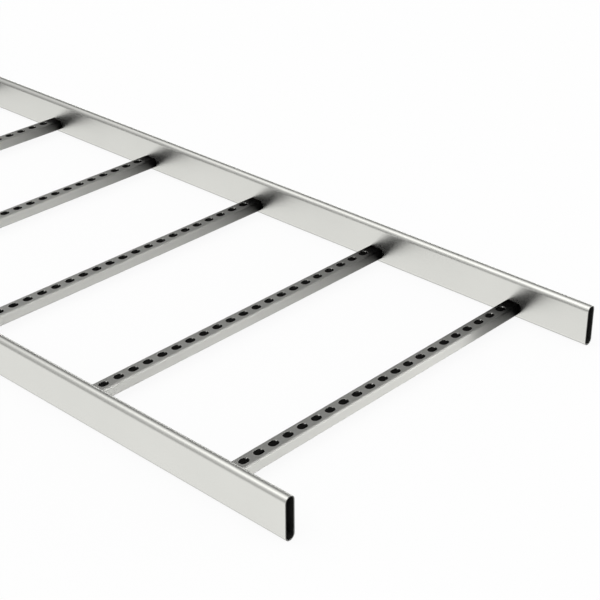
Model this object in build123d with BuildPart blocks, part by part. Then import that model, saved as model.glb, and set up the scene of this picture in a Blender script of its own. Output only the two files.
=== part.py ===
"""Cable ladder section: two flat-oval tube side rails joined by perforated channel rungs.

Millimetres. +X runs along the side rails, +Y across the ladder and +Z up.
The origin is the bottom centre of the section, on the level that the side rails stand on.
"""

import math
import os

from build123d import *

# Whole section
section_length = 3000.0
ladder_width = 600.0

# Side rail, a flat-oval welded tube that stands on edge
rail_height = 60.0
rail_thickness = 15.0
rail_wall = 1.5

# Rung, a channel that is roll-formed from strip, with its mouth underneath
rung_width = 22.5
rung_height = 17.0
rung_wall = 1.5
rung_inner_bend_radius = 1.5
rung_mouth_width = 8.0
rung_top_height = 25.0

# Spacing of the rungs along the rails
rung_pitch = 250.0
first_rung_from_end = 120.5

# Row of slots punched through the top of every rung
slot_length = 15.0
slot_width = 11.0
slot_pitch = 25.0
slot_row_shift = 6.5
slot_end_land = 6.0

# Side rails: centre planes, and the flat inner faces that the rungs are welded to
rail_centre = ladder_width / 2 - rail_thickness / 2
rail_bore_height = rail_height - 2 * rail_wall
rail_bore_thickness = rail_thickness - 2 * rail_wall

# Rungs: cut to the clear width between the rails, face to face with both
rung_length = ladder_width - 2 * rail_thickness
rung_centre_height = rung_top_height - rung_height / 2
rung_underside = rung_top_height - rung_height
rung_bore_width = rung_width - 2 * rung_wall
rung_bore_height = rung_height - 2 * rung_wall
rung_outer_bend_radius = rung_inner_bend_radius + rung_wall
last_rung_room = section_length - first_rung_from_end - rung_width / 2
rung_count = math.floor(last_rung_room / rung_pitch) + 1

# Slots: the strip's run of slots passes the middle of the ladder by slot_row_shift,
# and a slot is left out where it would come nearer to the rung's end than slot_end_land
slot_reach = rung_length / 2 - slot_end_land - slot_length / 2
first_slot = math.ceil((-slot_reach - slot_row_shift) / slot_pitch)
last_slot = math.floor((slot_reach - slot_row_shift) / slot_pitch)
slot_count = last_slot - first_slot + 1
slot_row_centre = slot_row_shift + slot_pitch * (first_slot + last_slot) / 2

os.makedirs("parts", exist_ok=True)

# Side rails: one flat-oval tube on each side, open at both ends
for rail_name, rail_side in (("side_rail_near", -1), ("side_rail_far", 1)):
    with BuildPart() as side_rail:
        with BuildSketch(Plane.YZ):
            with Locations((rail_side * rail_centre, rail_height / 2)):
                SlotOverall(rail_height, rail_thickness, rotation=90)
                SlotOverall(rail_bore_height, rail_bore_thickness, rotation=90, mode=Mode.SUBTRACT)
        extrude(amount=section_length / 2, both=True)
    side_rail.part.label = rail_name
    export_step(side_rail.part, f"parts/{rail_name}.step")

# Rungs: channels with a row of slots in the top, from the +X end towards -X
for rung_number in range(rung_count):
    rung_x = section_length / 2 - first_rung_from_end - rung_number * rung_pitch
    with BuildPart() as rung:
        with BuildSketch(Plane.XZ):
            with Locations((rung_x, rung_centre_height)):
                RectangleRounded(rung_width, rung_height, rung_outer_bend_radius)
                RectangleRounded(
                    rung_bore_width, rung_bore_height, rung_inner_bend_radius, mode=Mode.SUBTRACT
                )
            with Locations((rung_x, rung_underside)):
                Rectangle(rung_mouth_width, 2 * rung_wall, mode=Mode.SUBTRACT)
        extrude(amount=rung_length / 2, both=True)
        with BuildSketch(Plane.XY.offset(rung_top_height)):
            with Locations((rung_x, slot_row_centre)):
                with GridLocations(slot_pitch, slot_pitch, 1, slot_count):
                    SlotOverall(slot_length, slot_width, rotation=90)
        extrude(amount=-2 * rung_wall, mode=Mode.SUBTRACT)
    rung.part.label = f"rung_{rung_number + 1:02d}"
    export_step(rung.part, f"parts/{rung.part.label}.step")
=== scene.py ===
"""Cable ladder section: satin zinc side rails and slotted rungs, in a pale studio.

Metres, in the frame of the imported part: +X runs along the side rails, +Y across the ladder
and +Z up. The rails stand on the floor at zero height.
"""

from __future__ import annotations

import logging
import math
from dataclasses import dataclass, field
from enum import Enum

import bmesh
import bpy
from mathutils import Matrix, Vector


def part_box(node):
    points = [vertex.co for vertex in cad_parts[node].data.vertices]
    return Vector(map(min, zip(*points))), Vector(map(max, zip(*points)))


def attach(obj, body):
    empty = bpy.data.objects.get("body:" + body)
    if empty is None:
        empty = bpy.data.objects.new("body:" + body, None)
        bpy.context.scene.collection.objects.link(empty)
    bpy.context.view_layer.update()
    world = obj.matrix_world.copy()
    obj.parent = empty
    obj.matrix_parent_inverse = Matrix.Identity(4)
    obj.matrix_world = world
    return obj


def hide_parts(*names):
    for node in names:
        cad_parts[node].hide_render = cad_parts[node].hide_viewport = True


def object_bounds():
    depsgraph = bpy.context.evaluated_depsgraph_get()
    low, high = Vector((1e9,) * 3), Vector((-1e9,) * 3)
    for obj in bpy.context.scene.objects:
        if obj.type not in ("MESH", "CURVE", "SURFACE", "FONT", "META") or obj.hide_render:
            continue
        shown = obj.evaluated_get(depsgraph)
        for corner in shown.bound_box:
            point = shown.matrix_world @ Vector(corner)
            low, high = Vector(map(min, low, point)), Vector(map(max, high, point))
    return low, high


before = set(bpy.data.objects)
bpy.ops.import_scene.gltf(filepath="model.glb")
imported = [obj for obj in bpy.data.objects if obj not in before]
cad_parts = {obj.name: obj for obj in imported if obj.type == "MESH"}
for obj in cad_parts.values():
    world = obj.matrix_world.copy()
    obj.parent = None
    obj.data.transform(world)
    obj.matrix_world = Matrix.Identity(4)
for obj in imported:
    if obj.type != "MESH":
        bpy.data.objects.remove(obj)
cad_low, cad_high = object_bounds()

log = logging.getLogger("cable_ladder")

MILLIMETRE = 0.001
# Vertices nearer than this become one, and vertices this near to a line lie on it
MERGE_DISTANCE = 0.01 * MILLIMETRE
ON_THE_LINE = 0.001 * MILLIMETRE
# The shader counts its turns from 0 to 1
QUARTER_TURN = 0.25

Dome = tuple[tuple[float, float], ...]


class RollingDirection(Enum):
    """The way in which a strip ran through the rolls, which its fine lines follow."""

    ALONG_RAILS = "along_rails"
    ALONG_RUNGS = "along_rungs"

    def line_scale(self, length: float, breadth: float) -> tuple[float, float, float]:
        """Gives the scale of a pattern whose lines have one length and one breadth.

        Args:
            length: length of a line in metres.
            breadth: breadth of a line in metres.

        Returns:
            The pattern's scale along X, Y and Z.
        """
        along, across = 1 / length, 1 / breadth
        if self is RollingDirection.ALONG_RAILS:
            return along, across, across
        return across, along, across

    @property
    def way(self) -> tuple[float, float, float]:
        """The direction of rolling."""
        return (1.0, 0.0, 0.0) if self is RollingDirection.ALONG_RAILS else (0.0, 1.0, 0.0)


@dataclass(frozen=True)
class SatinZinc:
    """Satin zinc coat on rolled strip: an even grey with faint rolling lines and clouding."""

    name: str
    colour: tuple[float, float, float]
    rolling: RollingDirection
    roughness: float
    spread_across_lines: float
    line_wander: float = 0.003
    cloud_size: float = 90 * MILLIMETRE
    cloud_depth: float = 0.015
    cloud_detail: float = 3.0
    line_length: float = 60 * MILLIMETRE
    line_breadth: float = 0.45 * MILLIMETRE
    line_roughness: float = 0.008
    line_height: float = 0.0006 * MILLIMETRE
    line_detail: float = 2.0
    pattern_range: tuple[float, float] = (0.3, 0.7)

    def material(self) -> bpy.types.Material:
        """Makes the finish's material.

        Returns:
            A metal whose colour clouds a little and whose roughness follows the lines.
        """
        material = bpy.data.materials.new(self.name)
        material.use_nodes = True
        nodes, links = material.node_tree.nodes, material.node_tree.links
        metal = nodes["Principled BSDF"]
        metal.inputs["Metallic"].default_value = 1.0
        # Highlights spread across the lines, a quarter turn from the way that they run
        metal.inputs["Anisotropic"].default_value = self.spread_across_lines
        metal.inputs["Anisotropic Rotation"].default_value = QUARTER_TURN

        place = nodes.new("ShaderNodeTexCoord")
        clouds = nodes.new("ShaderNodeTexNoise")
        clouds.name = "clouds_in_the_coat"
        clouds.inputs["Scale"].default_value = 1 / self.cloud_size
        clouds.inputs["Detail"].default_value = self.cloud_detail
        links.new(place.outputs["Object"], clouds.inputs["Vector"])

        stretch = nodes.new("ShaderNodeMapping")
        stretch.inputs["Scale"].default_value = self.rolling.line_scale(
            self.line_length, self.line_breadth
        )
        links.new(place.outputs["Object"], stretch.inputs["Vector"])
        lines = nodes.new("ShaderNodeTexNoise")
        lines.name = "rolling_lines"
        lines.inputs["Scale"].default_value = 1.0
        lines.inputs["Detail"].default_value = self.line_detail
        links.new(stretch.outputs["Vector"], lines.inputs["Vector"])

        tint = nodes.new("ShaderNodeValToRGB")
        tint.name = "cloud_tint"
        darker, lighter = tint.color_ramp.elements
        darker.position, lighter.position = self.pattern_range
        darker.color = (*(c * (1 - self.cloud_depth) for c in self.colour), 1.0)
        lighter.color = (*(c * (1 + self.cloud_depth) for c in self.colour), 1.0)
        links.new(clouds.outputs["Fac"], tint.inputs["Fac"])
        links.new(tint.outputs["Color"], metal.inputs["Base Color"])

        satin = nodes.new("ShaderNodeMapRange")
        satin.name = "satin_of_the_lines"
        satin.inputs["From Min"].default_value = self.pattern_range[0]
        satin.inputs["From Max"].default_value = self.pattern_range[1]
        satin.inputs["To Min"].default_value = self.roughness - self.line_roughness
        satin.inputs["To Max"].default_value = self.roughness + self.line_roughness
        links.new(lines.outputs["Fac"], satin.inputs["Value"])
        links.new(satin.outputs["Result"], metal.inputs["Roughness"])

        wander = nodes.new("ShaderNodeVectorMath")
        wander.name = "wandering_lines"
        wander.operation = "MULTIPLY_ADD"
        wander.inputs[1].default_value = [self.line_wander] * 3
        wander.inputs[2].default_value = self.rolling.way
        links.new(lines.outputs["Color"], wander.inputs[0])
        links.new(wander.outputs["Vector"], metal.inputs["Tangent"])

        relief = nodes.new("ShaderNodeBump")
        relief.inputs["Strength"].default_value = 1.0
        relief.inputs["Distance"].default_value = self.line_height
        links.new(lines.outputs["Fac"], relief.inputs["Height"])
        links.new(relief.outputs["Normal"], metal.inputs["Normal"])
        return material


@dataclass(frozen=True)
class MottledZinc:
    """Unworked zinc coat, mottled and with no grain, as on cut rims; made near black on inner
    faces, where it is painted shade.
    """

    name: str
    colour: tuple[float, float, float]
    roughness: float
    mottle_size: float = 12 * MILLIMETRE
    mottle_depth: float = 0.12
    mottle_detail: float = 4.0
    pattern_range: tuple[float, float] = (0.35, 0.65)

    def material(self) -> bpy.types.Material:
        """Makes the finish's material.

        Returns:
            A metal whose colour and roughness are mottled.
        """
        material = bpy.data.materials.new(self.name)
        material.use_nodes = True
        nodes, links = material.node_tree.nodes, material.node_tree.links
        metal = nodes["Principled BSDF"]
        metal.inputs["Metallic"].default_value = 1.0
        place = nodes.new("ShaderNodeTexCoord")
        mottle = nodes.new("ShaderNodeTexNoise")
        mottle.name = "mottle_in_the_coat"
        mottle.inputs["Scale"].default_value = 1 / self.mottle_size
        mottle.inputs["Detail"].default_value = self.mottle_detail
        links.new(place.outputs["Object"], mottle.inputs["Vector"])
        tint = nodes.new("ShaderNodeValToRGB")
        tint.name = "mottle_tint"
        darker, lighter = tint.color_ramp.elements
        darker.position, lighter.position = self.pattern_range
        darker.color = (*(c * (1 - self.mottle_depth) for c in self.colour), 1.0)
        lighter.color = (*(c * (1 + self.mottle_depth) for c in self.colour), 1.0)
        links.new(mottle.outputs["Fac"], tint.inputs["Fac"])
        links.new(tint.outputs["Color"], metal.inputs["Base Color"])
        sheen = nodes.new("ShaderNodeMapRange")
        sheen.name = "mottle_roughness"
        sheen.inputs["To Min"].default_value = self.roughness * (1 - self.mottle_depth)
        sheen.inputs["To Max"].default_value = self.roughness * (1 + self.mottle_depth)
        links.new(mottle.outputs["Fac"], sheen.inputs["Value"])
        links.new(sheen.outputs["Result"], metal.inputs["Roughness"])
        return material


@dataclass(frozen=True)
class SheetFinishes:
    """The finishes of a sheet piece: its outer face, its inner face in near-black painted shade,
    and its cut rims.
    """

    outside: bpy.types.Material
    inside: bpy.types.Material
    rims: bpy.types.Material


@dataclass(frozen=True)
class Oval:
    """A flat oval outline: two half circles joined by straight sides."""

    centre: Vector
    normal: Vector
    long_way: Vector
    length: float
    width: float
    arc_steps: int = 12

    def trace(self, mesh: bmesh.types.BMesh) -> list[bmesh.types.BMEdge]:
        """Draws the outline into a mesh, counter-clockwise about its normal.

        Args:
            mesh: the mesh that takes the outline.

        Returns:
            The outline's edges, a closed loop.
        """
        known = set(mesh.edges)
        cross_way = self.long_way.cross(self.normal)
        run = self.long_way * (self.length - self.width)
        arc_centre = self.centre + run / 2
        first = mesh.verts.new(arc_centre + cross_way * self.width / 2)
        last = self._half_circle(mesh, first, arc_centre)
        side = bmesh.ops.extrude_vert_indiv(mesh, verts=[last])["verts"]
        bmesh.ops.translate(mesh, verts=side, vec=-run)
        last = self._half_circle(mesh, side[0], arc_centre - run)
        bmesh.ops.contextual_create(mesh, geom=[last, first])
        return [edge for edge in mesh.edges if edge not in known]

    def _half_circle(
        self, mesh: bmesh.types.BMesh, start: bmesh.types.BMVert, centre: Vector
    ) -> bmesh.types.BMVert:
        """Spins a vertex through half a turn.

        Args:
            mesh: the mesh that holds the vertex.
            start: where the half circle starts.
            centre: the half circle's centre.

        Returns:
            The vertex that ends the half circle.
        """
        turned = bmesh.ops.spin(
            mesh,
            geom=[start],
            cent=centre,
            axis=self.normal,
            angle=math.pi,
            steps=self.arc_steps,
        )
        return next(v for v in turned["geom_last"] if isinstance(v, bmesh.types.BMVert))


@dataclass
class SheetPiece:
    """A piece made of one thickness of sheet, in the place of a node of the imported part."""

    node: str
    finishes: SheetFinishes
    slot: str
    wall: float
    rim_break: float = 0.15 * MILLIMETRE
    rim_steps: int = 2
    rim_angle: float = math.radians(50)
    low: Vector = field(init=False)
    high: Vector = field(init=False)

    def __post_init__(self) -> None:
        """Takes the piece's corners from its node."""
        self.low, self.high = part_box(self.node)

    @property
    def centre(self) -> Vector:
        """The middle of the piece."""
        return (self.low + self.high) / 2

    def outer_skin(self, mesh: bmesh.types.BMesh) -> None:
        """Models the piece's outer face, with no thickness yet."""
        raise NotImplementedError

    def build(self) -> bpy.types.Object:
        """Models the piece, gives the sheet its thickness and dresses it.

        Returns:
            The finished piece, which stands for its node.
        """
        mesh = bmesh.new()
        self.outer_skin(mesh)
        bmesh.ops.remove_doubles(mesh, verts=mesh.verts, dist=MERGE_DISTANCE)
        bmesh.ops.recalc_face_normals(mesh, faces=mesh.faces)
        data = bpy.data.meshes.new(f"{self.node}_formed")
        mesh.to_mesh(data)
        mesh.free()
        data.shade_smooth()
        piece = bpy.data.objects.new(f"{self.node}_formed", data)
        bpy.context.scene.collection.objects.link(piece)
        for finish in (self.finishes.outside, self.finishes.inside, self.finishes.rims):
            data.materials.append(finish)
        self._give_thickness(piece)
        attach(piece, "root")
        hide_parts(self.node)
        log.info("%s stands for %s", piece.name, self.node)
        return piece

    def _give_thickness(self, piece: bpy.types.Object) -> None:
        """Thickens the skin inwards, breaks its cut rims and evens the shading."""
        thickness = piece.modifiers.new("sheet_thickness", "SOLIDIFY")
        thickness.thickness = self.wall
        thickness.offset = -1.0
        thickness.use_even_offset = True
        # The inner faces take the second material, a near-black painted shade.
        thickness.material_offset = 1
        thickness.material_offset_rim = 2
        rims = piece.modifiers.new("broken_rims", "BEVEL")
        rims.width = self.rim_break
        rims.segments = self.rim_steps
        rims.limit_method = "ANGLE"
        rims.angle_limit = self.rim_angle
        shading = piece.modifiers.new("even_shading", "WEIGHTED_NORMAL")
        shading.keep_sharp = True


@dataclass
class SideRail(SheetPiece):
    """A flat oval tube on edge, open at both saw-cut ends."""

    wall: float = 1.5 * MILLIMETRE
    section_length: float = 250 * MILLIMETRE
    arc_steps: int = 24

    def outer_skin(self, mesh: bmesh.types.BMesh) -> None:
        """Draws the oval at the rail's low end and runs it to the other end.

        Args:
            mesh: the mesh that takes the skin.
        """
        size = self.high - self.low
        oval = Oval(
            centre=Vector((self.low.x, self.centre.y, self.centre.z)),
            normal=Vector((1, 0, 0)),
            long_way=Vector((0, 0, 1)),
            length=size.z,
            width=size.y,
            arc_steps=self.arc_steps,
        )
        rim = oval.trace(mesh)
        sections = round(size.x / self.section_length)
        for _ in range(sections):
            run = bmesh.ops.extrude_edge_only(mesh, edges=rim)["geom"]
            moved = [g for g in run if isinstance(g, bmesh.types.BMVert)]
            bmesh.ops.translate(mesh, verts=moved, vec=(size.x / sections, 0, 0))
            rim = [g for g in run if isinstance(g, bmesh.types.BMEdge)]


@dataclass
class SlottedRung(SheetPiece):
    """A channel folded from slotted strip, with its mouth underneath."""

    wall: float = 1.5 * MILLIMETRE
    bend_radius: float = 3 * MILLIMETRE
    bend_steps: int = 8
    mouth_width: float = 8 * MILLIMETRE
    slot_length: float = 15 * MILLIMETRE
    slot_width: float = 11 * MILLIMETRE
    slot_pitch: float = 25 * MILLIMETRE
    slot_row_shift: float = 6.5 * MILLIMETRE
    slot_end_land: float = 6 * MILLIMETRE
    slot_margin: float = 0.8 * MILLIMETRE

    def slot_places(self) -> list[float]:
        """Works out where the slots are.

        Returns:
            The Y of each slot's middle. A slot that would come nearer to an end of the rung
            than the land is left out.
        """
        reach = (self.high.y - self.low.y) / 2 - self.slot_end_land - self.slot_length / 2
        first = math.ceil((-reach - self.slot_row_shift) / self.slot_pitch)
        last = math.floor((reach - self.slot_row_shift) / self.slot_pitch)
        return [self.slot_row_shift + self.slot_pitch * n for n in range(first, last + 1)]

    def outer_skin(self, mesh: bmesh.types.BMesh) -> None:
        """Lays the slotted top flat and folds its two sides down and under.

        Args:
            mesh: the mesh that takes the skin.
        """
        self._slotted_top(mesh)
        for side in (-1, 1):
            self._fold(mesh, side)

    def _slotted_top(self, mesh: bmesh.types.BMesh) -> None:
        """Makes the flat top: one cell for each slot, and plain lands at the ends."""
        places = self.slot_places()
        self._slot_cell(mesh, places[0])
        cell = mesh.verts[:] + mesh.edges[:] + mesh.faces[:]
        for place in places[1:]:
            copy = bmesh.ops.duplicate(mesh, geom=cell)["geom"]
            moved = [g for g in copy if isinstance(g, bmesh.types.BMVert)]
            bmesh.ops.translate(mesh, verts=moved, vec=(0, place - places[0], 0))
        bmesh.ops.remove_doubles(mesh, verts=mesh.verts, dist=MERGE_DISTANCE)
        for last_cell, end in ((places[0], self.low.y), (places[-1], self.high.y)):
            border = last_cell + math.copysign(self.slot_pitch / 2, end)
            edges = [
                e for e in mesh.edges if all(abs(v.co.y - border) < ON_THE_LINE for v in e.verts)
            ]
            land = bmesh.ops.extrude_edge_only(mesh, edges=edges)["geom"]
            moved = [g for g in land if isinstance(g, bmesh.types.BMVert)]
            bmesh.ops.translate(mesh, verts=moved, vec=(0, end - border, 0))

    def _slot_cell(self, mesh: bmesh.types.BMesh, place: float) -> None:
        """Makes a slot with the metal around it.

        Args:
            mesh: the mesh that takes the cell.
            place: the Y of the slot's middle.
        """
        middle = Vector((self.centre.x, place, self.high.z))
        slot_edge, margin_edge = (
            Oval(
                centre=middle,
                normal=Vector((0, 0, 1)),
                long_way=Vector((0, 1, 0)),
                length=self.slot_length + 2 * margin,
                width=self.slot_width + 2 * margin,
            ).trace(mesh)
            for margin in (0.0, self.slot_margin)
        )
        bmesh.ops.bridge_loops(mesh, edges=slot_edge + margin_edge)
        known = set(mesh.edges)
        flat_width = self.high.x - self.low.x - 2 * self.bend_radius
        corners = [
            mesh.verts.new(middle + Vector((x * flat_width / 2, y * self.slot_pitch / 2, 0)))
            for x, y in ((-1, -1), (1, -1), (1, 1), (-1, 1))
        ]
        for corner, following in zip(corners, corners[1:] + corners[:1]):
            bmesh.ops.contextual_create(mesh, geom=[corner, following])
        border = [edge for edge in mesh.edges if edge not in known]
        bmesh.ops.triangle_fill(
            mesh, edges=margin_edge + border, use_beauty=True, normal=(0, 0, 1)
        )

    def _fold(self, mesh: bmesh.types.BMesh, side: int) -> None:
        """Folds one side of the channel: a bend, the side, a bend and the lip by the mouth.

        Args:
            mesh: the mesh that holds the top.
            side: 1 for the side towards +X, -1 for the other.
        """
        flat_half = (self.high.x - self.low.x) / 2 - self.bend_radius
        bend_x = self.centre.x + side * flat_half
        edges = [e for e in mesh.edges if all(abs(v.co.x - bend_x) < ON_THE_LINE for v in e.verts)]
        edges = self._bend(mesh, edges, (bend_x, self.high.z - self.bend_radius), side)
        drop = self.high.z - self.low.z - 2 * self.bend_radius
        edges = self._run(mesh, edges, Vector((0, 0, -drop)))
        edges = self._bend(mesh, edges, (bend_x, self.low.z + self.bend_radius), side)
        lip = flat_half - self.mouth_width / 2
        self._run(mesh, edges, Vector((-side * lip, 0, 0)))

    def _bend(
        self,
        mesh: bmesh.types.BMesh,
        edges: list[bmesh.types.BMEdge],
        centre: tuple[float, float],
        side: int,
    ) -> list[bmesh.types.BMEdge]:
        """Turns an edge of the sheet through a right angle.

        Args:
            mesh: the mesh that holds the edges.
            edges: the sheet's border.
            centre: X and Z of the bend's centre line.
            side: 1 for the side towards +X, -1 for the other.

        Returns:
            The sheet's new border.
        """
        verts = list({v for e in edges for v in e.verts})
        turned = bmesh.ops.spin(
            mesh,
            geom=verts + edges,
            cent=(centre[0], self.centre.y, centre[1]),
            axis=(0, side, 0),
            angle=math.pi / 2,
            steps=self.bend_steps,
        )
        return [g for g in turned["geom_last"] if isinstance(g, bmesh.types.BMEdge)]

    def _run(
        self, mesh: bmesh.types.BMesh, edges: list[bmesh.types.BMEdge], run: Vector
    ) -> list[bmesh.types.BMEdge]:
        """Carries an edge of the sheet straight on.

        Args:
            mesh: the mesh that holds the edges.
            edges: the sheet's border.
            run: how far the sheet goes on.

        Returns:
            The sheet's new border.
        """
        added = bmesh.ops.extrude_edge_only(mesh, edges=edges)["geom"]
        moved = [g for g in added if isinstance(g, bmesh.types.BMVert)]
        bmesh.ops.translate(mesh, verts=moved, vec=run)
        return [g for g in added if isinstance(g, bmesh.types.BMEdge)]


@dataclass
class PaleStudio:
    """A white floor and a soft dome of light in three parts: one near and two far."""

    floor_radius: float = 40.0
    floor_sides: int = 96
    floor_glow: float = 0.998
    floor_share_of_light: float = 0.08
    # Elevations in degrees, each with the dome's brightness, on the camera's side
    near_dome: Dome = (
        (-90.0, 1.2),
        (-36.0, 1.06),
        (-28.0, 1.07),
        (-19.0, 1.2),
        (-12.0, 0.8),
        (-3.0, 0.34),
        (5.0, 0.45),
        (28.0, 0.6),
        (38.0, 1.0),
        (46.0, 1.95),
        (60.0, 2.05),
        (90.0, 1.6),
    )
    # The same beyond the far rail towards -X, where a bright strip stands on the horizon
    far_left_dome: Dome = (
        (-90.0, 0.5),
        (-28.0, 0.25),
        (-10.0, 0.3),
        (-4.0, 0.6),
        (0.0, 2.4),
        (7.0, 2.4),
        (10.0, 0.5),
        (15.0, 0.25),
        (25.0, 0.18),
        (34.0, 0.12),
        (42.0, 0.18),
        (48.0, 0.24),
        (57.0, 0.45),
        (75.0, 0.8),
        (90.0, 1.2),
    )
    # The same towards +X, where the strip is broader and brighter
    far_right_dome: Dome = (
        (-90.0, 0.1),
        (-45.0, 0.12),
        (-36.0, 0.2),
        (-30.0, 0.3),
        (-25.0, 0.3),
        (-19.0, 0.6),
        (-10.0, 1.2),
        (-5.0, 2.4),
        (-1.0, 3.8),
        (8.0, 3.8),
        (13.0, 1.4),
        (25.0, 0.55),
        (40.0, 0.2),
        (60.0, 0.12),
        (90.0, 0.6),
    )
    # How far the parts run into each other, on a dome of radius 1
    near_far_blend: float = 0.5
    left_right_blend: float = 0.35

    def build(self) -> None:
        """Makes the floor and the dome."""
        self._lay_floor()
        self._light_dome()

    def _lay_floor(self) -> None:
        """Makes a round white floor that only the camera sees."""
        mesh = bmesh.new()
        bmesh.ops.create_circle(
            mesh, cap_ends=True, segments=self.floor_sides, radius=self.floor_radius
        )
        data = bpy.data.meshes.new("studio_floor")
        mesh.to_mesh(data)
        mesh.free()
        floor = bpy.data.objects.new("studio_floor", data)
        bpy.context.scene.collection.objects.link(floor)
        data.materials.append(self._floor_paint())
        floor.visible_glossy = False
        floor.visible_diffuse = False
        floor.visible_shadow = False

    def _floor_paint(self) -> bpy.types.Material:
        """Makes white paint that glows to the camera and still takes a soft shadow."""
        paint = bpy.data.materials.new("white_floor_paint")
        paint.use_nodes = True
        nodes, links = paint.node_tree.nodes, paint.node_tree.links
        nodes.clear()
        matt = nodes.new("ShaderNodeBsdfDiffuse")
        matt.inputs["Color"].default_value = (1.0, 1.0, 1.0, 1.0)
        glow = nodes.new("ShaderNodeEmission")
        glow.inputs["Strength"].default_value = self.floor_glow
        blend = nodes.new("ShaderNodeMixShader")
        blend.inputs["Fac"].default_value = self.floor_share_of_light
        surface = nodes.new("ShaderNodeOutputMaterial")
        links.new(glow.outputs["Emission"], blend.inputs[1])
        links.new(matt.outputs["BSDF"], blend.inputs[2])
        links.new(blend.outputs["Shader"], surface.inputs["Surface"])
        return paint

    def _light_dome(self) -> None:
        """Makes the world: white to the camera, and soft gradients to everything else."""
        world = bpy.data.worlds.new("studio_dome")
        bpy.context.scene.world = world
        world.use_nodes = True
        nodes, links = world.node_tree.nodes, world.node_tree.links
        nodes.clear()
        place = nodes.new("ShaderNodeTexCoord")
        way = nodes.new("ShaderNodeSeparateXYZ")
        links.new(place.outputs["Generated"], way.inputs["Vector"])
        height = nodes.new("ShaderNodeMapRange")
        height.inputs["From Min"].default_value = -1.0
        height.inputs["From Max"].default_value = 1.0
        links.new(way.outputs["Z"], height.inputs["Value"])
        near, far_left, far_right = (
            self._dome_part(world, height.outputs["Result"], stops)
            for stops in (self.near_dome, self.far_left_dome, self.far_right_dome)
        )
        far = self._blend(world, way.outputs["X"], self.left_right_blend, far_left, far_right)
        soft_light = self._blend(world, way.outputs["Y"], self.near_far_blend, near, far)
        white = nodes.new("ShaderNodeBackground")
        white.inputs["Color"].default_value = (1.0, 1.0, 1.0, 1.0)
        ray = nodes.new("ShaderNodeLightPath")
        choice = nodes.new("ShaderNodeMixShader")
        surface = nodes.new("ShaderNodeOutputWorld")
        links.new(ray.outputs["Is Camera Ray"], choice.inputs["Fac"])
        links.new(soft_light, choice.inputs[1])
        links.new(white.outputs["Background"], choice.inputs[2])
        links.new(choice.outputs["Shader"], surface.inputs["Surface"])

    def _dome_part(
        self,
        world: bpy.types.World,
        height: bpy.types.NodeSocket,
        dome: Dome,
    ) -> bpy.types.NodeSocket:
        """Makes one part of the dome.

        Args:
            world: the world that takes the nodes.
            height: the height in the dome, from 0 straight down to 1 straight up.
            dome: elevations in degrees, each with its brightness.

        Returns:
            The part's light.
        """
        nodes, links = world.node_tree.nodes, world.node_tree.links
        brightest = max(brightness for _, brightness in dome)
        shade = nodes.new("ShaderNodeValToRGB")
        stops = shade.color_ramp.elements
        while len(stops) < len(dome):
            stops.new(0.5)
        for stop, (elevation, brightness) in zip(stops, dome):
            stop.position = (math.sin(math.radians(elevation)) + 1) / 2
            stop.color = (*[brightness / brightest] * 3, 1.0)
        links.new(height, shade.inputs["Fac"])
        part = nodes.new("ShaderNodeBackground")
        part.inputs["Strength"].default_value = brightest
        links.new(shade.outputs["Color"], part.inputs["Color"])
        return part.outputs["Background"]

    def _blend(
        self,
        world: bpy.types.World,
        way: bpy.types.NodeSocket,
        half_width: float,
        low: bpy.types.NodeSocket,
        high: bpy.types.NodeSocket,
    ) -> bpy.types.NodeSocket:
        """Blends two parts of the dome softly across its middle.

        Args:
            world: the world that takes the nodes.
            way: the coordinate along which the parts change over.
            half_width: how far the change reaches to each side of zero.
            low: the light on the negative side.
            high: the light on the positive side.

        Returns:
            The blended light.
        """
        nodes, links = world.node_tree.nodes, world.node_tree.links
        share = nodes.new("ShaderNodeMapRange")
        share.interpolation_type = "SMOOTHSTEP"
        share.inputs["From Min"].default_value = -half_width
        share.inputs["From Max"].default_value = half_width
        links.new(way, share.inputs["Value"])
        blend = nodes.new("ShaderNodeMixShader")
        links.new(share.outputs["Result"], blend.inputs["Fac"])
        links.new(low, blend.inputs[1])
        links.new(high, blend.inputs[2])
        return blend.outputs["Shader"]


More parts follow.
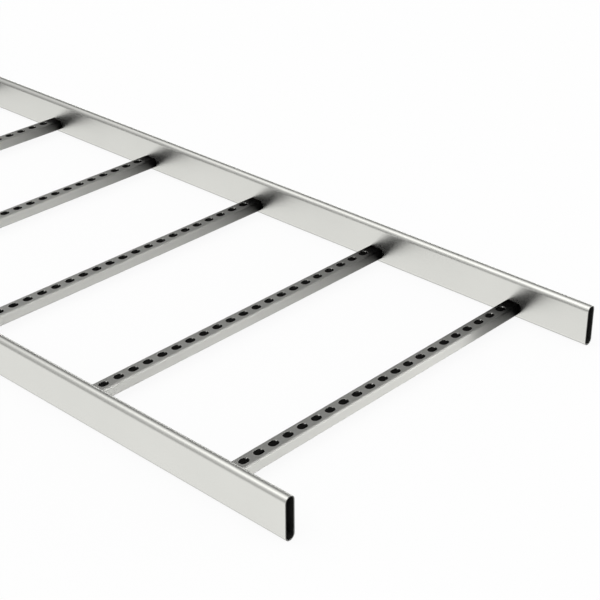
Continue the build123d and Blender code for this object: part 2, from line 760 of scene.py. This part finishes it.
@dataclass
class PhotoCamera:
    """The camera of the picture: above the near rail, off the open end of the ladder."""

    # Place in metres, angles in degrees, lens and sensor in millimetres
    from_rail_end: float = 0.925257
    from_middle: float = -1.263202
    height: float = 1.031329
    heading: float = 43.135
    look_down: float = 28.536
    roll: float = -0.131
    lens: float = 90.849
    sensor: float = 36.0
    nearest_view: float = 0.05
    farthest_view: float = 200.0

    def build(self) -> bpy.types.Object:
        """Sets the camera up.

        Returns:
            The camera, which is also the scene's.
        """
        data = bpy.data.cameras.new("picture_camera")
        data.sensor_width = self.sensor
        data.lens = self.lens
        data.clip_start, data.clip_end = self.nearest_view, self.farthest_view
        camera = bpy.data.objects.new("picture_camera", data)
        bpy.context.scene.collection.objects.link(camera)
        turn = (
            Matrix.Rotation(math.radians(self.heading), 4, "Z")
            @ Matrix.Rotation(math.radians(90 - self.look_down), 4, "X")
            @ Matrix.Rotation(math.radians(self.roll), 4, "Z")
        )
        place = Vector((cad_high.x + self.from_rail_end, self.from_middle, self.height))
        camera.matrix_world = Matrix.Translation(place) @ turn
        bpy.context.scene.camera = camera
        return camera


def main() -> None:
    """Builds the studio, the side rails and the rungs."""
    logging.basicConfig(level=logging.INFO, format="%(name)s: %(message)s")
    scene = bpy.context.scene
    scene.view_settings.view_transform = "Standard"
    # Polished faces show the studio and not each other, as in the picture
    scene.cycles.max_bounces = 0

    PhotoCamera().build()
    PaleStudio().build()

    rail_zinc = SatinZinc(
        name="rail_satin_zinc",
        colour=(0.70, 0.70, 0.665),
        rolling=RollingDirection.ALONG_RAILS,
        roughness=0.263,
        spread_across_lines=0.903,
    ).material()
    rung_zinc = SatinZinc(
        name="rung_satin_zinc",
        colour=(0.74, 0.74, 0.705),
        rolling=RollingDirection.ALONG_RUNGS,
        roughness=0.444,
        spread_across_lines=0.991,
    ).material()
    # Inner faces of the tubes and channels are painted near black: painted shade in their hollows,
    # not the zinc's own colour.
    inside = MottledZinc(
        name="painted_shade_inner_faces", colour=(0.07, 0.07, 0.067), roughness=0.65
    ).material()
    cut_rim = MottledZinc(
        name="bright_zinc_on_cut_rims", colour=(0.68, 0.68, 0.65), roughness=0.16
    ).material()
    rail_finishes = SheetFinishes(outside=rail_zinc, inside=inside, rims=cut_rim)
    rung_finishes = SheetFinishes(outside=rung_zinc, inside=inside, rims=cut_rim)
    for node in ("side_rail_near", "side_rail_far"):
        SideRail(node=node, finishes=rail_finishes, slot="rail_zinc").build()
    for node in sorted(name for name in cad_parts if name.startswith("rung_")):
        SlottedRung(node=node, finishes=rung_finishes, slot="rung_zinc").build()


if __name__ == "__main__":
    main()
